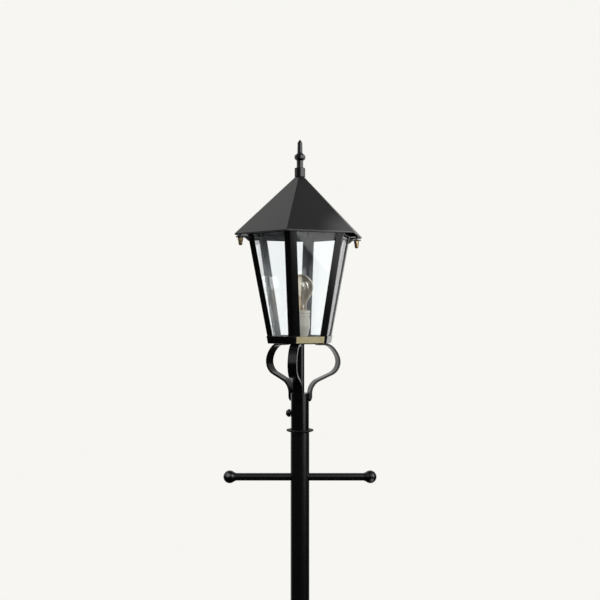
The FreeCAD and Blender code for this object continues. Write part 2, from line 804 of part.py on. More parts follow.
def bracket_screw_solid(side):
    centre = bracket_screw_place(side)
    seat = tray_floor + sheet
    head = button(bracket_screw_head / 2, seat, seat + bracket_screw_head_height, centre)
    return head.fuse(disc(bracket_screw / 2, tray_base, seat + 1, centre))


def holder_nipple():
    low = holder_foot - sheet - nipple_tail
    return ring(nipple_diameter / 2, nipple_bore / 2, low, holder_foot + nipple_reach)


def nipple_nut():
    high = holder_foot - sheet
    return hex_nut(nipple_nut_flats, high - nipple_nut_height, high, nipple_diameter + 2 * seat_gap)


def lampholder():
    """Porcelain holder: tapered foot, grooved skirt, open mouth, bored for the shell and the nipple."""
    waist = holder_foot + holder_foot_height
    edge = holder_rim_edge
    body = lathe([(0, holder_foot), (holder_foot_radius, holder_foot), (holder_radius, waist),
                  (holder_radius, holder_rim - edge), (holder_radius - edge * 0.3, holder_rim - edge * 0.3),
                  (holder_radius - edge, holder_rim), (0, holder_rim)])
    cuts = [disc(holder_mouth_radius, holder_rim - holder_mouth_depth, holder_rim + 1),
            disc(shell_radius + seat_gap, holder_floor, holder_rim),
            disc(nipple_diameter / 2 + seat_gap, holder_foot - 1, holder_foot + nipple_reach + seat_gap),
            disc(nipple_bore / 2, holder_foot, holder_floor + 1)]
    for below_rim in holder_groove_places:
        height = holder_rim - below_rim
        cuts.append(ring(holder_radius + 1, holder_radius - holder_groove, height - holder_groove / 2,
                         height + holder_groove / 2))
    return body.cut(cuts)


def contact_shell():
    return ring(shell_radius, shell_radius - shell_wall, holder_floor, holder_floor + shell_length)


def centre_contact():
    """Brass spring strip, raised under the bulb's tip."""
    low = holder_floor
    high = bulb_tip - running_gap
    foot = shell_radius - shell_wall - 1.5
    thick = contact_sheet
    outline = [(-foot, low), (-foot * 0.35, low), (cap_tip_radius * 0.3, high - thick), (cap_tip_radius, high - thick),
               (cap_tip_radius, high), (0, high), (-foot * 0.45, low + thick), (-foot, low + thick)]
    strip = face_of([Vector(x, 0, z) for x, z in outline]).extrude(Vector(0, contact_width, 0))
    strip.translate(Vector(0, -contact_width / 2, 0))
    return strip


# Bulb

def bulb_outline(inset):
    """Edges of the glass, from the crown down to the root, moved in by inset."""
    radius = bulb_radius - inset
    centre = bulb_crown - bulb_radius
    neck = bulb_neck_radius - inset
    throat = bulb_throat + inset
    crown = Vector(0, 0, centre + radius)
    sphere_end = Vector(radius * cosine(bulb_cone), 0, centre - radius * sine(bulb_cone))
    cone_end_x = neck + throat * (1 - cosine(bulb_cone))
    cone_end = sphere_end - Vector(sine(bulb_cone), 0, cosine(bulb_cone)) * (
        (sphere_end.x - cone_end_x) / sine(bulb_cone))
    bend_centre = cone_end + Vector(cosine(bulb_cone), 0, -sine(bulb_cone)) * throat
    bend_end = Vector(neck, 0, bend_centre.z)
    half = bulb_cone / 2
    neck_end = Vector(neck, 0, cap_rim + bulb_neck_radius - bulb_root_radius)
    root_top = Vector(bulb_root_radius - inset, 0, cap_rim)
    root = Vector(bulb_root_radius - inset, 0, cap_rim - cap_recess + seat_gap)
    return [Part.Arc(crown, Vector(radius * cosine(30), 0, centre + radius * sine(30)), sphere_end),
            Part.LineSegment(sphere_end, cone_end),
            Part.Arc(cone_end, bend_centre - Vector(cosine(half), 0, -sine(half)) * throat, bend_end),
            Part.LineSegment(bend_end, neck_end), Part.LineSegment(neck_end, root_top),
            Part.LineSegment(root_top, root)]


def bulb_glass():
    outer = bulb_outline(0.0)
    inner = bulb_outline(bulb_wall)
    ends = [Part.LineSegment(outer[0].StartPoint, inner[0].StartPoint),
            Part.LineSegment(outer[-1].EndPoint, inner[-1].EndPoint)]
    outline = Part.Wire(Part.__sortEdges__([curve.toShape() for curve in outer + inner + ends]))
    return Part.Face(outline).revolve(origin, up, 360)


def bulb_cap():
    cone_low = bulb_tip + cap_tip_height
    body = lathe([(0, bulb_tip), (cap_tip_radius, bulb_tip), (cap_tip_radius, cone_low),
                  (cap_cone_radius, cone_low + cap_cone_height), (cap_radius, cone_low + cap_cone_height),
                  (cap_radius, cap_rim), (0, cap_rim)])
    return body.cut(disc(bulb_root_radius + seat_gap, cap_rim - cap_recess, cap_rim + 1))


def bulb_stem():
    """Glass stem: a flared foot in the cap, a thin tube and a small button that holds the wires."""
    low = cap_rim - cap_recess
    flare_top = cap_rim + stem_flare_height
    top = cap_rim + stem_height
    neck = top - stem_button_radius * 2
    return lathe([(0, low), (stem_flare_radius, low), (stem_flare_radius, cap_rim), (stem_tube_radius * 2, flare_top - 4),
                  (stem_tube_radius, flare_top), (stem_tube_radius, neck), (stem_button_radius, neck + 1.5),
                  (stem_button_radius, top - 1.5), (stem_tube_radius / 2, top), (0, top)])


def bulb_filament():
    """Two support wires from the stem's button, and the sagging filament between their ends."""
    foot = cap_rim + stem_height - stem_button_radius
    high = cap_rim + filament_rise
    bend = (filament_spread ** 2 + filament_sag ** 2) / (2 * filament_sag)
    centre = Vector(0, 0, high - filament_sag + bend)
    half_angle = math.degrees(math.asin(filament_spread / bend))
    section = Part.Face(Part.Wire(Part.Circle(centre - up * bend, Vector(1, 0, 0), wire_radius * 1.2).toShape()))
    section.rotate(centre, Vector(0, 1, 0), half_angle)
    filament = section.revolve(centre, Vector(0, 1, 0), -2 * half_angle)
    for side in (-1, 1):
        start = Vector(side * (stem_button_radius + wire_radius / 2), 0, foot)
        line = Vector(side * filament_spread, 0, high) - start
        filament = filament.fuse(Part.makeCylinder(wire_radius, line.Length + wire_radius, start, line))
    return filament


# The whole assembly

def place_head(shape):
    return turned(shape, head_turn)


def build():
    """Every piece under its node's name."""
    pieces = {
        "base_flange": base_flange(), "base_hub": base_hub(), "post_tube": post_tube(),
        "post_spigot": post_spigot(), "ladder_bar": ladder_bar(),
        "bar_ball_left": bar_ball(-1), "bar_ball_right": bar_ball(1), "collar_ring": collar_ring(),
        "sleeve_tube": sleeve_tube(), "sleeve_cap": sleeve_cap(), "conduit_tube": conduit_tube(),
        "clamp_washer": clamp_washer(), "clamp_screw": clamp_screw(),
    }
    head = {
        "conduit_locknut": conduit_locknut(), "base_tray": base_tray(), "top_band": top_band(),
        "name_plate": name_plate(), "plate_pins": Part.makeCompound([plate_pin(-1), plate_pin(1)]),
        "arm_screws": Part.makeCompound([arm_screw(bearing) for bearing in arm_names]),
        "arm_welds": Part.makeCompound([arm_weld_bead(bearing) for bearing in arm_names]),
        "pane_clips": Part.makeCompound([clip for bearing in face_names for clip in pane_clips(bearing)]),
        "holder_bracket": holder_bracket(), "holder_nipple": holder_nipple(), "nipple_nut": nipple_nut(),
        "bracket_screws": Part.makeCompound([bracket_screw_solid(-1), bracket_screw_solid(1)]),
        "lampholder": lampholder(), "contact_shell": contact_shell(), "centre_contact": centre_contact(),
        "bulb_glass": bulb_glass(), "bulb_cap": bulb_cap(), "bulb_stem": bulb_stem(),
        "bulb_filament": bulb_filament(),
        "roof_shell": roof_shell(), "finial_nut": finial_nut(),
        "stud_plates": Part.makeCompound([stud_plate(bearing) for bearing in lug_bearings.values()]),
        "roof_studs": Part.makeCompound([roof_stud(bearing) for bearing in lug_bearings.values()]),
    }
    for bearing, name in arm_names.items():
        head["bracket_arm_" + name] = bracket_arm(bearing)
    for bearing, name in corner_names.items():
        head["corner_post_" + name] = corner_post(bearing)
    for bearing, name in face_names.items():
        head["glass_pane_" + name] = glass_pane(bearing)
    for name, bearing in lug_bearings.items():
        head["roof_lug_" + name] = roof_lug(bearing)
        head["nut_washer_" + name] = nut_washer(bearing)
        head["cap_nut_" + name] = cap_nut(bearing)
    for name, shape in head.items():
        pieces[name] = place_head(shape)
    pieces["finial"] = finial()
    return pieces


os.makedirs("parts", exist_ok=True)
for name, shape in build().items():
    shape.exportStep("parts/" + name + ".step")
    print(name, len(shape.Solids), "solids, valid" if shape.isValid() else "solids, NOT valid",
          round(shape.Volume), "mm3")
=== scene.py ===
import json
import math

import bmesh
import bpy
from mathutils import Matrix, Vector


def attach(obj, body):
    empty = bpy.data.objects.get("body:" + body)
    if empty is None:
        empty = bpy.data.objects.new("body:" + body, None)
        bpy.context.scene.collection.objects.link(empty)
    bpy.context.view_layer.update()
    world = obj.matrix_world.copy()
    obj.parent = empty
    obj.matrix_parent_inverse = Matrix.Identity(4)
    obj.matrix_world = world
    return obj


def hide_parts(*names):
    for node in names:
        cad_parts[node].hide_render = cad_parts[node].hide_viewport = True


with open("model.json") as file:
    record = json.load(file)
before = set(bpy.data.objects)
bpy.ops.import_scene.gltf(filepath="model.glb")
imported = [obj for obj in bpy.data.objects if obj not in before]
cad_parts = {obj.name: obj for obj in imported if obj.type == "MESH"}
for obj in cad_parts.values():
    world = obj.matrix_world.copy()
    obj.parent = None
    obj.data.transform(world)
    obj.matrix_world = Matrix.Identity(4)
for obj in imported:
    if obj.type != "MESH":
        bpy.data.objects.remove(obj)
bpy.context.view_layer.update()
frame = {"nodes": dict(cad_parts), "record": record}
nodes = frame["nodes"]
collection = bpy.context.scene.collection

headTurn = math.radians(-10.3)  # bearing of the cage's front corner, from -Y towards +X
slotOf = {part["node"]: part["material_slot"] for part in frame["record"]["subparts"]}
groups = frame["record"]["behaviour"]["bodies"]
bodyOf = {name: body for body, names in groups.items() for name in names}


# shader building, with all patterns on Object coordinates in metres

def addNode(tree, kind, **settings):
    node = tree.nodes.new(kind)
    for key, value in settings.items():
        setattr(node, key, value)
    return node


def connect(tree, source, target):
    tree.links.new(source, target)


def newMaterial(name, kind="ShaderNodeBsdfPrincipled"):
    material = bpy.data.materials.new(name)
    material.use_nodes = True
    tree = material.node_tree
    tree.nodes.clear()
    output = addNode(tree, "ShaderNodeOutputMaterial")
    shader = addNode(tree, kind)
    connect(tree, shader.outputs[0], output.inputs["Surface"])
    place = addNode(tree, "ShaderNodeTexCoord").outputs["Object"]
    return material, tree, shader, place


def noise(tree, place, scale, detail=2.0, stretch=(1, 1, 1)):
    mapping = addNode(tree, "ShaderNodeMapping")
    mapping.inputs["Scale"].default_value = stretch
    connect(tree, place, mapping.inputs["Vector"])
    texture = addNode(tree, "ShaderNodeTexNoise")
    texture.inputs["Scale"].default_value = scale
    texture.inputs["Detail"].default_value = detail
    connect(tree, mapping.outputs[0], texture.inputs["Vector"])
    return texture.outputs[0]


def remap(tree, source, fromLow, fromHigh, low, high, smooth=False):
    node = addNode(tree, "ShaderNodeMapRange")
    if smooth:
        node.interpolation_type = "SMOOTHSTEP"
    for key, value in zip(("From Min", "From Max", "To Min", "To Max"), (fromLow, fromHigh, low, high)):
        node.inputs[key].default_value = value
    connect(tree, source, node.inputs["Value"])
    return node.outputs["Result"]


def times(tree, *values):
    result = values[0]
    for value in values[1:]:
        node = addNode(tree, "ShaderNodeMath", operation="MULTIPLY")
        connect(tree, result, node.inputs[0])
        if hasattr(value, "links"):
            connect(tree, value, node.inputs[1])
        else:
            node.inputs[1].default_value = value
        result = node.outputs[0]
    return result


def between(tree, factor, first, second):
    node = addNode(tree, "ShaderNodeMix", data_type="FLOAT")
    connect(tree, factor, node.inputs[0])
    for socket, value in ((node.inputs[2], first), (node.inputs[3], second)):
        if hasattr(value, "links"):
            connect(tree, value, socket)
        else:
            socket.default_value = value
    return node.outputs[0]


def vectorStep(tree, operation, first, second=None):
    node = addNode(tree, "ShaderNodeVectorMath", operation=operation)
    connect(tree, first, node.inputs[0])
    if hasattr(second, "links"):
        connect(tree, second, node.inputs[1])
    elif second:
        node.inputs[1].default_value = second
    return node.outputs["Value" if operation in ("DISTANCE", "DOT_PRODUCT") else "Vector"]


def ramp(tree, source, stops):
    node = addNode(tree, "ShaderNodeValToRGB")
    while len(node.color_ramp.elements) < len(stops):
        node.color_ramp.elements.new(0.5)
    for element, (position, colour) in zip(node.color_ramp.elements, stops):
        element.position = position
        element.color = (*colour, 1)
    connect(tree, source, node.inputs["Fac"])
    return node.outputs["Color"]


def blend(tree, factor, first, second, kind="MIX"):
    node = addNode(tree, "ShaderNodeMix", data_type="RGBA", blend_type=kind)
    for socket, value in ((node.inputs[0], factor), (node.inputs[6], first), (node.inputs[7], second)):
        if hasattr(value, "links"):
            connect(tree, value, socket)
        else:
            socket.default_value = value if isinstance(value, float) else (*value, 1)
    return node.outputs[2]


def bumps(tree, shader, layers):
    normal = None
    for height, strength, distance in layers:
        node = addNode(tree, "ShaderNodeBump")
        node.inputs["Strength"].default_value = strength
        node.inputs["Distance"].default_value = distance
        connect(tree, height, node.inputs["Height"])
        if normal:
            connect(tree, normal, node.inputs["Normal"])
        normal = node.outputs[0]
    connect(tree, normal, shader.inputs["Normal"])


paint = {"speckPerPeel": 3.1, "peelDepth": 0.00006, "speckDepth": 0.00002,
         "dustTone": (0.30, 0.28, 0.25), "dustFrom": 0.35,  # how far a face has to look up to hold dust
         "insideRoughness": 0.55, "insideFacing": (-0.75, -0.35), "bloomCore": 0.25}


def powderCoat(name, look):
    material, tree, shader, place = newMaterial(name)
    mottle = noise(tree, place, look["mottle"], 3.0)
    peel = noise(tree, place, look["peel"], 1.0)
    speck = noise(tree, place, look["peel"] * paint["speckPerPeel"], 2.0)
    colour = ramp(tree, mottle, [(0.3, look["dark"]), (0.7, look["light"])])
    facing = addNode(tree, "ShaderNodeSeparateXYZ")
    connect(tree, addNode(tree, "ShaderNodeNewGeometry").outputs["Normal"], facing.inputs[0])
    settled = remap(tree, facing.outputs["Z"], paint["dustFrom"], 1.0, 0.0, look["dust"])
    dusty = times(tree, settled, remap(tree, speck, 0.35, 0.65, 0.4, 1.0))
    colour = blend(tree, dusty, colour, paint["dustTone"])
    low, high = look["roughness"]
    rough = remap(tree, peel, 0.3, 0.7, low, high)
    if "inside" in look:  # the faces that look back at the post's axis get a rougher, light grey coat: painted light, standing in for the light caught and reflected inside the cage
        outward = vectorStep(tree, "NORMALIZE", vectorStep(tree, "MULTIPLY", place, (1, 1, 0)))
        normal = addNode(tree, "ShaderNodeTexCoord").outputs["Normal"]
        facingOut = vectorStep(tree, "DOT_PRODUCT", outward, normal)
        paintedLightInside = remap(tree, facingOut, *paint["insideFacing"], 1.0, 0.0, True)
        colour = blend(tree, paintedLightInside, colour, look["inside"])
        rough = between(tree, paintedLightInside, rough, paint["insideRoughness"])
    for highlightCentre, reach, tone in look.get("blooms", []):  # pale spots mixed into the colour: painted highlights
        away = vectorStep(tree, "DISTANCE", place, highlightCentre)
        highlightMask = remap(tree, away, reach * paint["bloomCore"], reach, 1.0, 0.0, True)
        colour = blend(tree, times(tree, highlightMask, remap(tree, mottle, 0.2, 0.5, 0.7, 1.0)), colour, tone)
    connect(tree, colour, shader.inputs["Base Color"])
    connect(tree, rough, shader.inputs["Roughness"])
    shader.inputs["IOR"].default_value = look["ior"]
    bumps(tree, shader, [(peel, look["peelStrength"], paint["peelDepth"]),
                         (speck, look["peelStrength"] * 0.5, paint["speckDepth"])])
    return material


grainDepth = 0.00003  # metres, of the drawn or turned grain in bare metal


def metal(name, look):
    material, tree, shader, place = newMaterial(name)
    drawn = noise(tree, place, look["grain"], 4.0, look["stretch"])
    tone = ramp(tree, noise(tree, place, look["patches"], 3.0), [(0.25, look["dark"]), (0.75, look["light"])])
    connect(tree, tone, shader.inputs["Base Color"])
    shader.inputs["Metallic"].default_value = 1.0
    low, high = look["roughness"]
    connect(tree, remap(tree, drawn, 0.3, 0.7, low, high), shader.inputs["Roughness"])
    bumps(tree, shader, [(drawn, look["depth"], grainDepth)])
    return material


def porcelainGlaze(name, look):
    material, tree, shader, place = newMaterial(name)
    cloud = noise(tree, place, look["cloud"], 3.0)
    pits = noise(tree, place, look["pits"], 2.0)
    connect(tree, ramp(tree, cloud, [(0.3, look["dark"]), (0.7, look["light"])]), shader.inputs["Base Color"])
    low, high = look["roughness"]
    connect(tree, remap(tree, pits, 0.3, 0.7, low, high), shader.inputs["Roughness"])
    shader.inputs["IOR"].default_value = look["ior"]
    shader.inputs["Coat Weight"].default_value = look["coat"]
    shader.inputs["Coat Roughness"].default_value = look["coatRoughness"]
    bumps(tree, shader, [(cloud, 0.25, look["cloudDepth"]), (pits, 0.2, look["pitDepth"])])
    return material


rippleDepth = 0.0003  # metres, of the waves in rolled glass


def clearGlass(name, look):
    material, tree, mix, place = newMaterial(name, "ShaderNodeMixShader")
    wave = noise(tree, place, look["wave"], 1.0)
    smear = noise(tree, place, look["smear"], 4.0, (1, 1, 0.4))
    through = addNode(tree, "ShaderNodeBsdfTransparent")
    edge = addNode(tree, "ShaderNodeLayerWeight")
    edge.inputs["Blend"].default_value = look["thickness"]
    tint = blend(tree, remap(tree, smear, 0.3, 0.7, 0.0, 0.5), look["tint"], look["tintAtEdge"])
    connect(tree, blend(tree, edge.outputs["Facing"], tint, look["tintAtEdge"]), through.inputs["Color"])
    shine = addNode(tree, "ShaderNodeBsdfGlossy")
    shine.inputs["Color"].default_value = (*look["shine"], 1)
    connect(tree, remap(tree, smear, 0.3, 0.75, 0.01, look["haze"]), shine.inputs["Roughness"])
    ripple = addNode(tree, "ShaderNodeBump")
    ripple.inputs["Strength"].default_value = look["ripple"]
    ripple.inputs["Distance"].default_value = rippleDepth
    connect(tree, wave, ripple.inputs["Height"])
    slant = addNode(tree, "ShaderNodeLayerWeight")
    slant.inputs["Blend"].default_value = 0.5
    for node in (shine, slant):
        connect(tree, ripple.outputs[0], node.inputs["Normal"])
    steep = addNode(tree, "ShaderNodeMath", operation="POWER")
    steep.inputs[1].default_value = look["steepness"]
    connect(tree, slant.outputs["Facing"], steep.inputs[0])
    connect(tree, remap(tree, steep.outputs[0], 0.0, 1.0, look["mirror"], 1.0), mix.inputs[0])
    film = addNode(tree, "ShaderNodeMixShader")
    film.inputs[0].default_value = look["film"]
    milky = addNode(tree, "ShaderNodeBsdfTranslucent")
    milky.inputs["Color"].default_value = (*look["filmTone"], 1)
    for source, target in ((through, film.inputs[1]), (milky, film.inputs[2]), (film, mix.inputs[1]),
                           (shine, mix.inputs[2])):
        connect(tree, source.outputs[0], target)
    return material


coats = {  # one look for each family of painted pieces
    "post_paint": {"dark": (0.0008, 0.0008, 0.0012), "light": (0.0014, 0.0014, 0.0018), "mottle": 24.0,
                   "peel": 620.0, "peelStrength": 0.22, "roughness": (0.26, 0.34), "dust": 0.02, "ior": 1.5},
    "collar_paint": {"dark": (0.0010, 0.0010, 0.0014), "light": (0.0018, 0.0018, 0.0022), "mottle": 60.0,
                     "peel": 700.0, "peelStrength": 0.2, "roughness": (0.50, 0.60), "dust": 0.004,
                     "ior": 1.32},
    "sleeve_paint": {"dark": (0.0008, 0.0008, 0.0012), "light": (0.0014, 0.0014, 0.0018), "mottle": 40.0,
                     "peel": 640.0, "peelStrength": 0.2, "roughness": (0.17, 0.24), "dust": 0.01, "ior": 1.5},
    "arm_paint": {"dark": (0.0010, 0.0010, 0.0014), "light": (0.0018, 0.0018, 0.0022), "mottle": 50.0,
                  "peel": 680.0, "peelStrength": 0.22, "roughness": (0.15, 0.22), "dust": 0.02, "ior": 1.5},
    "cage_paint": {"dark": (0.0012, 0.0013, 0.0017), "light": (0.0020, 0.0021, 0.0025), "mottle": 30.0,
                   "peel": 600.0, "peelStrength": 0.2, "roughness": (0.13, 0.20), "dust": 0.02, "ior": 1.5,
                   # inside: light grey on the inward faces, painted light for the light caught inside the
                   # cage
                   "inside": (0.30, 0.31, 0.33)},
    "roof_paint": {"dark": (0.0030, 0.0030, 0.0034), "light": (0.0050, 0.0049, 0.0050), "mottle": 14.0,
                   "peel": 560.0, "peelStrength": 0.24, "roughness": (0.34, 0.42), "dust": 0.015, "ior": 1.5,
                   # the pale spot near the right-front eave corner is a painted reflection
                   "blooms": [((0.120, -0.107, 1.032), 0.088, (0.066, 0.065, 0.067))]},
    "cast_paint": {"dark": (0.0010, 0.0010, 0.0014), "light": (0.0018, 0.0018, 0.0022), "mottle": 70.0,
                   "peel": 420.0, "peelStrength": 0.35, "roughness": (0.18, 0.28), "dust": 0.02, "ior": 1.36,
                   # the pale spot on each ball is a painted highlight
                   "blooms": [((-0.1611, -0.0124, 0.4977), 0.0065, (0.16, 0.155, 0.155)),
                              ((0.1611, -0.0124, 0.4851), 0.0065, (0.16, 0.155, 0.155))]},
    "screw_paint": {"dark": (0.0010, 0.0010, 0.0014), "light": (0.0018, 0.0018, 0.0022), "mottle": 80.0,
                    "peel": 800.0, "peelStrength": 0.2, "roughness": (0.18, 0.26), "dust": 0.02, "ior": 1.5},
}
metals = {
    "zinc_steel": {"dark": (0.42, 0.43, 0.44), "light": (0.58, 0.58, 0.56), "grain": 900.0,
                   "stretch": (1, 1, 0.3), "patches": 90.0, "roughness": (0.28, 0.42), "depth": 0.2},
    "plate_brass": {"dark": (0.50, 0.44, 0.25), "light": (0.62, 0.565, 0.365), "grain": 1400.0,
                    "stretch": (1, 1, 9), "patches": 70.0, "roughness": (0.50, 0.62), "depth": 0.25},
    "nut_brass": {"dark": (0.22, 0.16, 0.085), "light": (0.40, 0.30, 0.17), "grain": 1500.0,
                  "stretch": (0.1, 0.1, 3), "patches": 160.0, "roughness": (0.38, 0.52), "depth": 0.35},
    "contact_brass": {"dark": (0.62, 0.46, 0.20), "light": (0.74, 0.58, 0.28), "grain": 1200.0,
                      "stretch": (1, 1, 1), "patches": 120.0, "roughness": (0.22, 0.34), "depth": 0.2},
    "cap_nickel": {"dark": (0.56, 0.54, 0.50), "light": (0.70, 0.68, 0.64), "grain": 1100.0,
                   "stretch": (0.2, 0.2, 3), "patches": 90.0, "roughness": (0.16, 0.28), "depth": 0.2},
    "filament_wire": {"dark": (0.42, 0.32, 0.24), "light": (0.62, 0.46, 0.34), "grain": 2000.0,
                      "stretch": (1, 1, 1), "patches": 400.0, "roughness": (0.25, 0.35), "depth": 0.1},
}
glasses = {
    "pane_glass": {"tint": (1.0, 1.0, 1.0), "tintAtEdge": (0.96, 0.985, 0.99), "thickness": 0.08,
                   "shine": (1.0, 1.0, 1.0), "wave": 18.0, "ripple": 0.012, "smear": 30.0, "haze": 0.02,
                   "mirror": 0.042, "steepness": 5.0, "film": 0.006, "filmTone": (0.9, 0.95, 1.0)},
    "bulb_glass": {"tint": (0.985, 0.966, 0.925), "tintAtEdge": (0.95, 0.92, 0.87), "thickness": 0.30,
                   "shine": (1.0, 0.98, 0.94), "wave": 40.0, "ripple": 0.04, "smear": 60.0, "haze": 0.02,
                   "mirror": 0.085, "steepness": 2.5, "film": 0.03, "filmTone": (1.0, 0.92, 0.82)},
    "stem_glass": {"tint": (0.97, 0.93, 0.89), "tintAtEdge": (0.86, 0.76, 0.68), "thickness": 0.40,
                   "shine": (1.0, 0.95, 0.9), "wave": 120.0, "ripple": 0.2, "smear": 160.0, "haze": 0.12,
                   "mirror": 0.08, "steepness": 4.0, "film": 0.10, "filmTone": (1.0, 0.90, 0.82)},
}
porcelain = {"dark": (0.74, 0.71, 0.63), "light": (0.82, 0.79, 0.70), "cloud": 45.0, "cloudDepth": 0.0004,
             "pits": 900.0, "pitDepth": 0.00003, "roughness": (0.18, 0.30), "ior": 1.5, "coat": 0.4,
             "coatRoughness": 0.08}
materials = {slot: powderCoat(slot, look) for slot, look in coats.items()}
materials |= {slot: metal(slot, look) for slot, look in metals.items()}
materials |= {slot: clearGlass(slot, look) for slot, look in glasses.items()}
materials["porcelain"] = porcelainGlaze("porcelain", porcelain)
print("materials made:", len(materials))


# mesh building

def settle(piece):  # leaves a plain mesh, with no modifiers
    graph = bpy.context.evaluated_depsgraph_get()
    mesh = bpy.data.meshes.new_from_object(piece.evaluated_get(graph), depsgraph=graph)
    piece.modifiers.clear()
    before = piece.data
    piece.data = mesh
    bpy.data.meshes.remove(before)
    mesh.name = piece.name


def pieceFrom(name, shape, smooth=38.0):
    mesh = bpy.data.meshes.new(name)
    shape.to_mesh(mesh)
    shape.free()
    mesh.shade_smooth()
    mesh.set_sharp_from_angle(angle=math.radians(smooth))
    piece = bpy.data.objects.new(name, mesh)
    collection.objects.link(piece)
    weights = piece.modifiers.new("weights", "WEIGHTED_NORMAL")
    weights.keep_sharp = True
    settle(piece)
    return piece


def finish(piece, *names, body=None, slot=None):
    material = materials[slot or slotOf[names[0]]]
    piece.data.materials.clear()
    piece.data.materials.append(material)
    if names:
        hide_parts(*names)
    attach(piece, body or bodyOf[names[0]])
    return piece


rounding = {"weld": 0.000004, "flatWithin": 0.5, "sharpFrom": 28.0, "leastLength": 2.2, "steps": 2}
onAxis = 1e-6  # metres; a point of a profile that is nearer than this stands on the axis


def roundedShape(name, edge):  # a CAD node's mesh, welded, with its sharp edges rounded
    shape = bmesh.new()
    shape.from_mesh(nodes[name].data)
    bmesh.ops.remove_doubles(shape, verts=shape.verts, dist=rounding["weld"])
    bmesh.ops.dissolve_limit(shape, angle_limit=math.radians(rounding["flatWithin"]), verts=shape.verts,
                             edges=shape.edges)
    sharp = [line for line in shape.edges if line.is_manifold
             and line.calc_face_angle(0) > math.radians(rounding["sharpFrom"])
             and line.calc_length() > edge * rounding["leastLength"]]
    if sharp:
        bmesh.ops.bevel(shape, geom=sharp, offset=edge, segments=rounding["steps"], profile=0.5,
                        affect="EDGES", clamp_overlap=True)
    return shape


def lathed(name, profile, sides=72, smooth=38.0):  # closed if it starts off the axis
    shape = bmesh.new()
    rings = []
    for radius, height in profile:
        if radius < onAxis:
            rings.append([shape.verts.new((0, 0, height))] * sides)
            continue
        rings.append([shape.verts.new((radius * math.cos(2 * math.pi * k / sides),
                                       radius * math.sin(2 * math.pi * k / sides), height))
                      for k in range(sides)])
    pairs = list(zip(rings, rings[1:]))
    if profile[0][0] > onAxis:
        pairs.append((rings[-1], rings[0]))
    for low, high in pairs:
        for k in range(sides):
            corners = []
            for vert in (low[k], low[(k + 1) % sides], high[(k + 1) % sides], high[k]):
                if vert not in corners:
                    corners.append(vert)
            if len(corners) > 2:
                shape.faces.new(corners)
    bmesh.ops.recalc_face_normals(shape, faces=shape.faces)
    return pieceFrom(name, shape, smooth)


def eased(profile, radius, steps=3):  # rounds every corner of a profile but its first and last point
    points = [profile[0]]
    for before, here, after in zip(profile, profile[1:], profile[2:]):
        here, before, after = Vector(here), Vector(before), Vector(after)
        reach = min(radius, (before - here).length * 0.45, (after - here).length * 0.45)
        start = here + (before - here).normalized() * reach
        stop = here + (after - here).normalized() * reach
        for k in range(steps + 1):
            t = k / steps
            points.append(tuple(start * (1 - t) ** 2 + here * 2 * t * (1 - t) + stop * t ** 2))
    return points + [profile[-1]]


def geometryTree(name, sizes):
    tree = bpy.data.node_groups.new(name, "GeometryNodeTree")
    tree.interface.new_socket(name="Geometry", in_out="INPUT", socket_type="NodeSocketGeometry")
    for label, kind, value in sizes:
        socket = tree.interface.new_socket(name=label, in_out="INPUT", socket_type=kind)
        if value is not None:
            socket.default_value = value
    tree.interface.new_socket(name="Material", in_out="INPUT", socket_type="NodeSocketMaterial")
    tree.interface.new_socket(name="Geometry", in_out="OUTPUT", socket_type="NodeSocketGeometry")
    start, end = addNode(tree, "NodeGroupInput"), addNode(tree, "NodeGroupOutput")
    return tree, start, end


def closeTree(tree, start, end, result):
    realize = addNode(tree, "GeometryNodeRealizeInstances")
    paint = addNode(tree, "GeometryNodeSetMaterial")
    connect(tree, result, realize.inputs[0])
    connect(tree, realize.outputs[0], paint.inputs["Geometry"])
    connect(tree, start.outputs["Material"], paint.inputs["Material"])
    connect(tree, paint.outputs[0], end.inputs[0])
    return tree


def runTree(piece, tree, sizes, slot):
    modifier = piece.modifiers.new("build", "NODES")
    modifier.node_group = tree
    wanted = sizes | {"Material": materials[slot]}
    for item in tree.interface.items_tree:
        if item.in_out == "INPUT" and item.name in wanted:
            modifier[item.identifier] = wanted[item.name]
    settle(piece)
    return piece


def repeatAroundAxis():  # copies of one piece, turned about the post's axis
    tree, start, end = geometryTree("RepeatAroundAxis", [("Count", "NodeSocketInt", 6),
                                                         ("Step", "NodeSocketFloat", math.pi / 3)])
    points = addNode(tree, "GeometryNodePoints")
    connect(tree, start.outputs["Count"], points.inputs["Count"])
    angle = addNode(tree, "ShaderNodeMath", operation="MULTIPLY")
    connect(tree, addNode(tree, "GeometryNodeInputIndex").outputs[0], angle.inputs[0])
    connect(tree, start.outputs["Step"], angle.inputs[1])
    turn = addNode(tree, "ShaderNodeCombineXYZ")
    connect(tree, angle.outputs[0], turn.inputs["Z"])
    rotation = addNode(tree, "FunctionNodeEulerToRotation")
    connect(tree, turn.outputs[0], rotation.inputs[0])
    copies = addNode(tree, "GeometryNodeInstanceOnPoints")
    connect(tree, points.outputs[0], copies.inputs["Points"])
    connect(tree, start.outputs["Geometry"], copies.inputs["Instance"])
    connect(tree, rotation.outputs[0], copies.inputs["Rotation"])
    return closeTree(tree, start, end, copies.outputs[0])


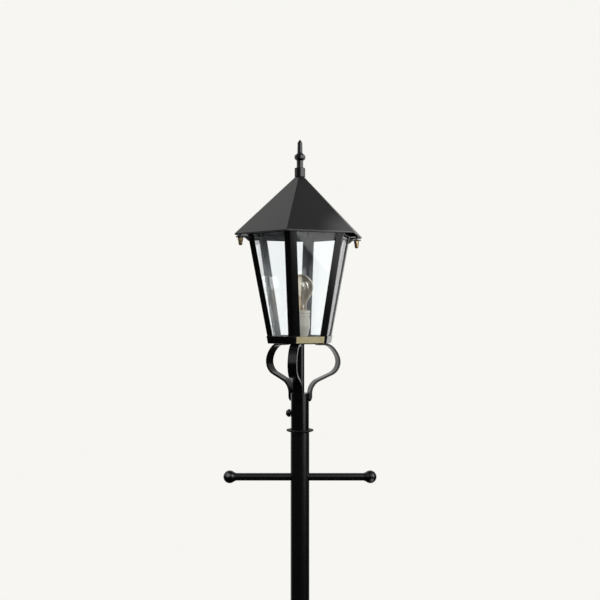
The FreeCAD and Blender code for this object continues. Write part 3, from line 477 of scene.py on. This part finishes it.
def threadHelix():  # a ridge that winds up a shank
    tree, start, end = geometryTree("ThreadHelix", [("Radius", "NodeSocketFloat", 0.003),
                                                    ("Pitch", "NodeSocketFloat", 0.001),
                                                    ("Length", "NodeSocketFloat", 0.01),
                                                    ("Ridge", "NodeSocketFloat", 0.0003)])
    spiral = addNode(tree, "GeometryNodeCurveSpiral")
    spiral.inputs["Resolution"].default_value = 40  # points in each turn
    turns = addNode(tree, "ShaderNodeMath", operation="DIVIDE")
    connect(tree, start.outputs["Length"], turns.inputs[0])
    connect(tree, start.outputs["Pitch"], turns.inputs[1])
    for name, source in (("Rotations", turns.outputs[0]), ("Start Radius", start.outputs["Radius"]),
                         ("End Radius", start.outputs["Radius"]), ("Height", start.outputs["Length"])):
        connect(tree, source, spiral.inputs[name])
    section = addNode(tree, "GeometryNodeCurvePrimitiveCircle")
    section.inputs["Resolution"].default_value = 6
    connect(tree, start.outputs["Ridge"], section.inputs["Radius"])
    sweep = addNode(tree, "GeometryNodeCurveToMesh")
    sweep.inputs["Fill Caps"].default_value = True
    connect(tree, spiral.outputs[0], sweep.inputs["Curve"])
    connect(tree, section.outputs[0], sweep.inputs["Profile Curve"])
    return closeTree(tree, start, end, sweep.outputs[0])


repeatTree = repeatAroundAxis()
threadTree = threadHelix()


def repeated(piece, count, slot):
    return runTree(piece, repeatTree, {"Count": count, "Step": 2 * math.pi / count}, slot)


def thread(name, body, slot, sizes, foot):  # foot is the lower end of the thread's axis
    piece = bpy.data.objects.new(name, bpy.data.meshes.new(name))
    collection.objects.link(piece)
    runTree(piece, threadTree, sizes, slot)
    piece.data.transform(Matrix.Translation(foot))
    piece.data.shade_smooth()
    return finish(piece, body=body, slot=slot)


# roof shell: one folded sheet, laid out as six-cornered rings with a small radius at every fold

roof = {"low": 1.0315, "lip": 0.0030, "eave": 0.1520, "top": 1.1658, "topRadius": 0.0110, "sheet": 0.0015,
        "fold": 0.0020, "hole": 0.0041, "steps": 4, "edge": 0.0005}


def foldedShell(name, profile, steps):  # profile rows hold corner radius, height and the radius of the fold
    shape = bmesh.new()
    rings = []
    for radius, height, fold in profile:
        middle = radius - fold / math.cos(math.radians(30))
        ring = []
        for corner in range(6):
            bearing = headTurn + math.radians(60 * corner)
            for k in range(steps + 1):
                turn = bearing + math.radians(60 * k / steps - 30)
                ring.append(shape.verts.new((middle * math.sin(bearing) + fold * math.sin(turn),
                                             -middle * math.cos(bearing) - fold * math.cos(turn), height)))
        rings.append(ring)
    for low, high in zip(rings, rings[1:] + rings[:1]):
        for k, vert in enumerate(low):
            after = (k + 1) % len(low)
            shape.faces.new((vert, low[after], high[after], high[k]))
    bmesh.ops.recalc_face_normals(shape, faces=shape.faces)
    return pieceFrom(name, shape, 32.0)


def makeRoof():
    eave, low, sheet = roof["eave"], roof["low"], roof["sheet"]
    lip, top, topRadius = low + roof["lip"], roof["top"], roof["topRadius"]
    slope = (top - lip) / (eave - topRadius)
    drop = sheet * math.sqrt(1 + (slope / math.cos(math.radians(30))) ** 2)
    inside = eave - sheet / math.cos(math.radians(30))
    insideLip = lip + (eave - inside) * slope - drop
    insideTop = topRadius + (sheet - drop) / slope
    outer = [(0.0, low), (inside, low), (eave, low), (eave, lip), (topRadius, top), (0.0, top)]
    rounded = [point for point in eased(outer, roof["edge"]) if point[0] > onAxis]
    rows = [(radius, height, min(roof["fold"], radius * 0.5)) for radius, height in rounded
            if radius > inside - 0.0001 or height > lip + 0.01]  # leaves out the middle of the underside
    small, hole = roof["fold"] - sheet, roof["hole"]
    boreRadius = hole / math.cos(math.radians(30))
    rows += [(boreRadius, top, hole), (boreRadius, top - sheet, hole), (insideTop, top - sheet, small),
             (inside, insideLip, small)]
    finish(foldedShell("roofShell", rows, roof["steps"]), "roof_shell")


makeRoof()
print("roof shell made")


# painted metalwork, with its edges rounded as paint and folding leave them

smallEdge = 0.00025  # metres
edgeSizes = {
    "top_band": 0.0004, "base_tray": 0.0005, "finial": 0.0005, "name_plate": 0.0002,
    "base_flange": 0.0006, "base_hub": 0.0006, "bracket_arm_front": 0.0007, "corner_post_front": 0.0006,
    "roof_lug_left": 0.0005, "roof_lug_right": 0.0005, "glass_pane_front_right": 0.0003,
    "clamp_screw": 0.0003,
}
repeats = {  # the node that is drawn, the name of the finished piece, and how many stand round the axis
    "corner_post_front": ("cornerPosts", 6), "glass_pane_front_right": ("glassPanes", 6),
    "bracket_arm_front": ("bracketArms", 3),
}
madeApart = ["roof_shell", "bulb_glass", "bulb_cap", "bulb_stem", "bulb_filament", "lampholder", "ladder_bar",
             "bar_ball_left", "bar_ball_right"]


def camel(name):
    first, *rest = name.split("_")
    return first + "".join(word.capitalize() for word in rest)


def dressMetalwork():
    for name in sorted(nodes):
        if name in madeApart:
            continue
        if name.startswith(("corner_post", "glass_pane", "bracket_arm")) and name not in repeats:
            continue
        shape = roundedShape(name, edgeSizes.get(name, smallEdge))
        if name not in repeats:
            finish(pieceFrom(camel(name), shape), name)
            continue
        label, count = repeats[name]
        prefix = "_".join(name.split("_")[:2])
        members = [name] + [other for other in sorted(nodes) if other.startswith(prefix) and other != name]
        finish(repeated(pieceFrom(label, shape), count, slotOf[name]), *members)


dressMetalwork()
print("metalwork dressed")


# ladder bar and its balls

ladder = {"height": 0.4914, "barRadius": 0.0085, "barEnd": 0.1547, "ballRadius": 0.0143, "ballReach": 0.158,
          "neckRadius": 0.010, "neckLength": 0.003, "neckEdge": 0.0005, "neckSink": 0.0004, "barEdge": 0.0008,
          "sides": 64, "ballRings": 24}


def makeLadderBar():
    end, radius = ladder["barEnd"], ladder["barRadius"]
    along = Matrix.Translation((0, 0, ladder["height"])) @ Matrix.Rotation(math.radians(90), 4, "Y")
    bar = lathed("ladderBar", eased([(0, -end), (radius, -end), (radius, end), (0, end)], ladder["barEdge"]),
                 ladder["sides"])
    bar.data.transform(along)
    finish(bar, "ladder_bar")
    start = math.asin(ladder["neckRadius"] / ladder["ballRadius"])
    neck = ladder["ballReach"] - ladder["ballRadius"] * math.cos(start)
    foot, edge = neck - ladder["neckLength"], ladder["neckEdge"]
    profile = [(0, foot), (ladder["neckRadius"] - edge, foot), (ladder["neckRadius"], foot + edge),
               (ladder["neckRadius"], neck - ladder["neckSink"])]
    for k in range(ladder["ballRings"] + 1):
        angle = start + (math.pi - start) * k / ladder["ballRings"]
        profile.append((ladder["ballRadius"] * math.sin(angle),
                        ladder["ballReach"] - ladder["ballRadius"] * math.cos(angle)))
    profile[-1] = (0, profile[-1][1])
    for side, label in ((-1, "left"), (1, "right")):
        ball = lathed("ball" + label.capitalize(), profile, ladder["sides"], 50.0)
        if side < 0:
            ball.data.transform(Matrix.Rotation(math.pi, 4, "Y"))
        ball.data.transform(along)
        finish(ball, "bar_ball_" + label)


makeLadderBar()
print("ladder bar made")


# lampholder and bulb, all turned about the post's axis; heights in metres

holder = {"foot": 0.8060, "rim": 0.8657, "radius": 0.0227, "footRadius": 0.0170, "waist": 0.8300,
          "mouth": 0.0194, "mouthDepth": 0.020, "shellBore": 0.0143, "floor": 0.8314, "bore": 0.0051,
          "boreTop": 0.8181, "wireBore": 0.0035, "grooves": (0.0080, 0.0158), "groove": 0.0018,
          "grooveDepth": 0.0016, "edge": 0.0005}
bulb = {"crown": 0.9474, "radius": 0.0302, "cone": 30.0, "throat": 0.012, "neck": 0.0148, "root": 0.0124,
        "rim": 0.8624, "wall": 0.0009, "capRadius": 0.0132, "tip": 0.8354, "capRecess": 0.003,
        "hem": [(0.0, 0.0024), (0.0012, 0.0007)],  # inside the neck's radius, above the rim
        "rootDepth": 0.0028, "capEdge": 0.0004, "stemEdge": 0.003,
        "capFoot": [(0, 0), (0.0035, 0), (0.005, 0.0008), (0.0052, 0.0016), (0.0112, 0.0046),
                    (0.0122, 0.0052)],  # radius, height above the tip
        "capGroove": 0.0122, "capHem": 0.0003, "capHemLow": 0.0030, "capHemHigh": 0.0024, "capGap": 0.0001,
        "stemFoot": 0.0106,
        "stem": [(0.0104, 0.0), (0.0085, 0.004), (0.0052, 0.010), (0.0026, 0.014), (0.0026, 0.0292),
                 (0.0034, 0.0307), (0.0034, 0.0345), (0.0013, 0.036), (0, 0.036)]}  # radius, height above rim
bulbThread = {"Radius": 0.0121, "Pitch": 0.00362, "Length": 0.0165, "Ridge": 0.0010}
bulbThreadRise = 0.0062  # its lower end above the cap's tip


def makeHolder():
    rim, radius = holder["rim"], holder["radius"]
    outer = [(holder["bore"], holder["foot"]), (holder["footRadius"], holder["foot"]),
             (radius, holder["waist"])]
    for below in reversed(holder["grooves"]):
        middle, half = rim - below, holder["groove"] / 2
        deep = radius - holder["grooveDepth"]
        outer += [(radius, middle - half), (deep, middle - half * 0.7), (deep, middle + half * 0.7),
                  (radius, middle + half)]
    inner = [(radius, rim), (holder["mouth"], rim), (holder["mouth"], rim - holder["mouthDepth"]),
             (holder["shellBore"], rim - holder["mouthDepth"]), (holder["shellBore"], holder["floor"]),
             (holder["wireBore"], holder["floor"]), (holder["wireBore"], holder["boreTop"]),
             (holder["bore"], holder["boreTop"])]
    profile = eased(outer + inner + [outer[0]], holder["edge"])
    finish(lathed("lampholder", profile[:-1], 96, 50.0), "lampholder")


def bulbSide(inset):
    radius, neck, throat = bulb["radius"] - inset, bulb["neck"] - inset, bulb["throat"] + inset
    centre, slant = bulb["crown"] - bulb["radius"], math.radians(bulb["cone"])
    points = [(radius * math.sin(math.radians(a)), centre + radius * math.cos(math.radians(a)))
              for a in range(0, 121, 5)]
    points[0] = (0, points[0][1])
    sphereEnd = Vector(points[-1])
    coneEnd = neck + throat * (1 - math.cos(slant))
    down = (sphereEnd.x - coneEnd) / math.tan(slant)
    bendTop = Vector((coneEnd, sphereEnd.y - down))
    bendCentre = bendTop + Vector((math.cos(slant), -math.sin(slant))) * throat
    for k in range(0, 7):
        angle = slant * (1 - k / 6)
        points.append((bendCentre.x - throat * math.cos(angle), bendCentre.y + throat * math.sin(angle)))
    points += [(neck - step, bulb["rim"] + rise) for step, rise in bulb["hem"]]
    root = bulb["root"] - inset
    return points + [(root, bulb["rim"]), (root, bulb["rim"] - bulb["rootDepth"])]


def makeBulb():
    glass = lathed("bulbGlass", bulbSide(0.0) + bulbSide(bulb["wall"])[::-1], 96, 60.0)
    finish(glass, "bulb_glass")
    tip, rim = bulb["tip"], bulb["rim"]
    root, hem = bulb["root"] + bulb["capGap"], bulb["capRadius"] - bulb["capHem"]
    low = rim - bulb["capRecess"]
    cap = [(radius, tip + rise) for radius, rise in bulb["capFoot"]]
    cap += [(bulb["capGroove"], rim - bulb["capHemLow"]), (hem, rim - bulb["capHemHigh"]), (hem, rim),
            (root, rim), (root, low), (0, low)]
    finish(lathed("bulbCap", eased(cap, bulb["capEdge"], 2), 72, 50.0), "bulb_cap")
    thread("bulbThread", "bulb", "cap_nickel", bulbThread, (0, 0, tip + bulbThreadRise))
    stem = [(0, low), (bulb["stemFoot"], low)] + [(radius, rim + rise) for radius, rise in bulb["stem"]]
    finish(lathed("bulbStem", eased(stem, bulb["stemEdge"], 4), 48, 60.0), "bulb_stem")


filament = {"spread": 0.013, "rise": 0.050, "sag": 0.005, "button": 0.0326, "turns": 46, "coil": 0.0007,
            "wire": 0.00028, "support": 0.0004, "supportSides": 10, "supportFoot": 0.0036, "hook": 0.0004}


def coilAlongArc():
    tree, start, end = geometryTree("CoilAlongArc", [("Turns", "NodeSocketFloat", 40.0),
                                                     ("Coil", "NodeSocketFloat", 0.0007),
                                                     ("Wire", "NodeSocketFloat", 0.0003),
                                                     ("Left", "NodeSocketVector", None),
                                                     ("Middle", "NodeSocketVector", None),
                                                     ("Right", "NodeSocketVector", None)])
    path = addNode(tree, "GeometryNodeCurveQuadraticBezier")
    path.inputs["Resolution"].default_value = 520
    for name, label in (("Start", "Left"), ("Middle", "Middle"), ("End", "Right")):
        connect(tree, start.outputs[label], path.inputs[name])
    along = addNode(tree, "GeometryNodeSplineParameter").outputs["Factor"]
    angle = addNode(tree, "ShaderNodeMath", operation="MULTIPLY")
    angle.inputs[1].default_value = 2 * math.pi
    turns = addNode(tree, "ShaderNodeMath", operation="MULTIPLY")
    connect(tree, along, turns.inputs[0])
    connect(tree, start.outputs["Turns"], turns.inputs[1])
    connect(tree, turns.outputs[0], angle.inputs[0])
    offset = addNode(tree, "ShaderNodeCombineXYZ")
    for axis, wave in (("Y", "COSINE"), ("Z", "SINE")):
        value = addNode(tree, "ShaderNodeMath", operation=wave)
        connect(tree, angle.outputs[0], value.inputs[0])
        scaled = addNode(tree, "ShaderNodeMath", operation="MULTIPLY")
        connect(tree, value.outputs[0], scaled.inputs[0])
        connect(tree, start.outputs["Coil"], scaled.inputs[1])
        connect(tree, scaled.outputs[0], offset.inputs[axis])
    move = addNode(tree, "GeometryNodeSetPosition")
    connect(tree, path.outputs[0], move.inputs["Geometry"])
    connect(tree, offset.outputs[0], move.inputs["Offset"])
    section = addNode(tree, "GeometryNodeCurvePrimitiveCircle")
    section.inputs["Resolution"].default_value = 5
    connect(tree, start.outputs["Wire"], section.inputs["Radius"])
    sweep = addNode(tree, "GeometryNodeCurveToMesh")
    sweep.inputs["Fill Caps"].default_value = True
    connect(tree, move.outputs[0], sweep.inputs["Curve"])
    connect(tree, section.outputs[0], sweep.inputs["Profile Curve"])
    return closeTree(tree, start, end, sweep.outputs[0])


def makeFilament():
    high = bulb["rim"] + filament["rise"]
    ends = [Vector((side * filament["spread"], 0, high)) for side in (-1, 1)]
    piece = bpy.data.objects.new("filamentCoil", bpy.data.meshes.new("filamentCoil"))
    collection.objects.link(piece)
    runTree(piece, coilAlongArc(), {"Turns": float(filament["turns"]), "Coil": filament["coil"],
                                    "Wire": filament["wire"], "Left": tuple(ends[0]), "Right": tuple(ends[1]),
                                    "Middle": (0.0, 0.0, high - 2 * filament["sag"])}, "filament_wire")
    shape = bmesh.new()
    shape.from_mesh(piece.data)
    for side, end in zip((-1, 1), ends):
        foot = Vector((side * filament["supportFoot"], 0, bulb["rim"] + filament["button"]))
        line = end + Vector((0, 0, filament["hook"])) - foot
        turn = Vector((0, 0, 1)).rotation_difference(line).to_matrix().to_4x4()
        bmesh.ops.create_cone(shape, cap_ends=True, segments=filament["supportSides"],
                              radius1=filament["support"], radius2=filament["support"], depth=line.length,
                              matrix=Matrix.Translation(foot + line / 2) @ turn)
    bpy.data.objects.remove(piece)
    wires = pieceFrom("bulbFilament", shape, 60.0)
    wires.data.transform(Matrix.Rotation(headTurn, 4, "Z"))
    finish(wires, "bulb_filament")


makeHolder()
makeBulb()
makeFilament()
print("lampholder and bulb made")


# threads that show when the roof, the nuts or the bulb are off

studs = {"radius": 0.0029, "pitch": 0.001, "ridge": 0.00022, "low": 1.0104, "high": 1.0340, "reach": 0.1386,
         "bearings": {"Left": -60, "Right": 120}}  # degrees from the cage's front corner


def threadStuds():
    sizes = {"Radius": studs["radius"], "Pitch": studs["pitch"], "Length": studs["high"] - studs["low"],
             "Ridge": studs["ridge"]}
    for side, bearing in studs["bearings"].items():
        angle = headTurn + math.radians(bearing)
        foot = (studs["reach"] * math.sin(angle), -studs["reach"] * math.cos(angle), studs["low"])
        thread("studThread" + side, "roof", "zinc_steel", sizes, foot)


threadStuds()
print("threads made")


# studio: pale seamless ground, dark low front, soft light above the horizon and a large softbox to the right

studio = {"pale": (0.9301, 0.9216, 0.8879), "paleInGlass": (1.07, 1.085, 1.075),
          "lampTone": (1.0, 0.995, 0.985), "behind": 0.92, "left": 1.05, "front": 0.5, "top": 0.20,
          "shade": 0.03, "floorRadius": 14.0, "contactShade": 0.22}
fades = {  # from and to, along one part of the direction that a ray leaves in
    "leftToFront": (-0.6, 0.0), "overhead": (0.80, 0.93), "leftToRight": (-0.05, 0.15),
    "behindOnLeft": (0.48, 0.76), "behindOnRight": (0.72, 0.93), "lowLeftToRight": (-0.75, -0.3),
    "lowOnLeft": (0.03, 0.26), "lowOnRight": (0.12, 0.42),
}


def paleColour(tree):  # a little brighter and cooler where it is seen through glass
    depth = addNode(tree, "ShaderNodeLightPath").outputs["Transparent Depth"]
    return blend(tree, remap(tree, depth, 0.0, 1.0, 0.0, 1.0), studio["pale"], studio["paleInGlass"])


def makeWorld():
    world = bpy.data.worlds.new("studio")
    bpy.context.scene.world = world
    world.use_nodes = True
    tree = world.node_tree
    tree.nodes.clear()
    output = addNode(tree, "ShaderNodeOutputWorld")
    mix = addNode(tree, "ShaderNodeMixShader")
    seen, lit = addNode(tree, "ShaderNodeBackground"), addNode(tree, "ShaderNodeBackground")
    connect(tree, paleColour(tree), seen.inputs["Color"])
    way = addNode(tree, "ShaderNodeSeparateXYZ")
    connect(tree, addNode(tree, "ShaderNodeTexCoord").outputs["Generated"], way.inputs[0])
    x, y, z = way.outputs

    def fade(source, name):
        return remap(tree, source, *fades[name], 0.0, 1.0, True)

    behind = between(tree, fade(x, "leftToRight"), fade(y, "behindOnLeft"), fade(y, "behindOnRight"))
    level = between(tree, fade(x, "leftToFront"), studio["left"], studio["front"])
    level = between(tree, fade(z, "overhead"), level, studio["top"])
    low = between(tree, fade(x, "lowLeftToRight"), fade(z, "lowOnLeft"), fade(z, "lowOnRight"))
    level = between(tree, low, studio["shade"], level)
    level = between(tree, behind, level, studio["behind"])
    connect(tree, level, lit.inputs["Strength"])
    lit.inputs["Color"].default_value = (*studio["lampTone"], 1)
    connect(tree, addNode(tree, "ShaderNodeLightPath").outputs["Is Camera Ray"], mix.inputs[0])
    connect(tree, lit.outputs[0], mix.inputs[1])
    connect(tree, seen.outputs[0], mix.inputs[2])
    connect(tree, mix.outputs[0], output.inputs[0])


def makeFloor():
    shape = bmesh.new()
    bmesh.ops.create_circle(shape, cap_ends=True, segments=96, radius=studio["floorRadius"])
    floor = pieceFrom("floor", shape)
    material, tree, mix, _ = newMaterial("floor", "ShaderNodeMixShader")
    seen, lit = addNode(tree, "ShaderNodeEmission"), addNode(tree, "ShaderNodeBsdfTransparent")
    shade = addNode(tree, "ShaderNodeAmbientOcclusion")
    shade.inputs["Distance"].default_value = studio["contactShade"]
    connect(tree, paleColour(tree), shade.inputs["Color"])
    connect(tree, shade.outputs["Color"], seen.inputs["Color"])
    connect(tree, addNode(tree, "ShaderNodeLightPath").outputs["Is Camera Ray"], mix.inputs[0])
    connect(tree, lit.outputs[0], mix.inputs[1])
    connect(tree, seen.outputs[0], mix.inputs[2])
    floor.data.materials.append(material)


lamps = [  # name, place, aimed at, width and height, radiance
    ("softboxRight", (1.78, -1.10, 1.23), (0, 0, 0.95), (2.205, 2.205), 1.35),
    ("softboxCore", (1.92, -0.90, 1.66), (0, 0, 0.95), (1.15, 2.0), 5.2),
    ("softboxFront", (0.95, -1.78, 1.98), (0, 0, 0.90), (0.85, 1.6), 3.4),
]


def makeLamps():
    for name, where, target, (width, height), radiance in lamps:
        light = bpy.data.lights.new(name, "AREA")
        light.shape = "ELLIPSE"
        light.size, light.size_y = width, height
        light.energy = radiance * math.pi * math.pi * width * height / 4  # watts for that radiance
        light.color = studio["lampTone"]
        lamp = bpy.data.objects.new(name, light)
        lamp.location = where
        lamp.rotation_euler = (Vector(target) - Vector(where)).to_track_quat("-Z", "Y").to_euler()
        collection.objects.link(lamp)


view = {"place": (0.0, -1.8675, 0.8666), "tilt": 90.0, "lens": 49.8, "sensor": 36.0,
        "shift": (0.0001, 0.0167)}


def makeCamera():
    camera = bpy.data.objects.new("camera", bpy.data.cameras.new("camera"))
    camera.data.sensor_width = view["sensor"]
    camera.data.lens = view["lens"]
    camera.data.shift_x, camera.data.shift_y = view["shift"]
    camera.location = view["place"]
    camera.rotation_euler = (math.radians(view["tilt"]), 0, 0)
    collection.objects.link(camera)
    bpy.context.scene.camera = camera


makeWorld()
makeFloor()
makeLamps()
makeCamera()
bpy.context.scene.view_settings.view_transform = "Standard"
bpy.context.scene.cycles.transparent_max_bounces = 32  # panes, bulb and stem stand one behind the other
print("studio made")
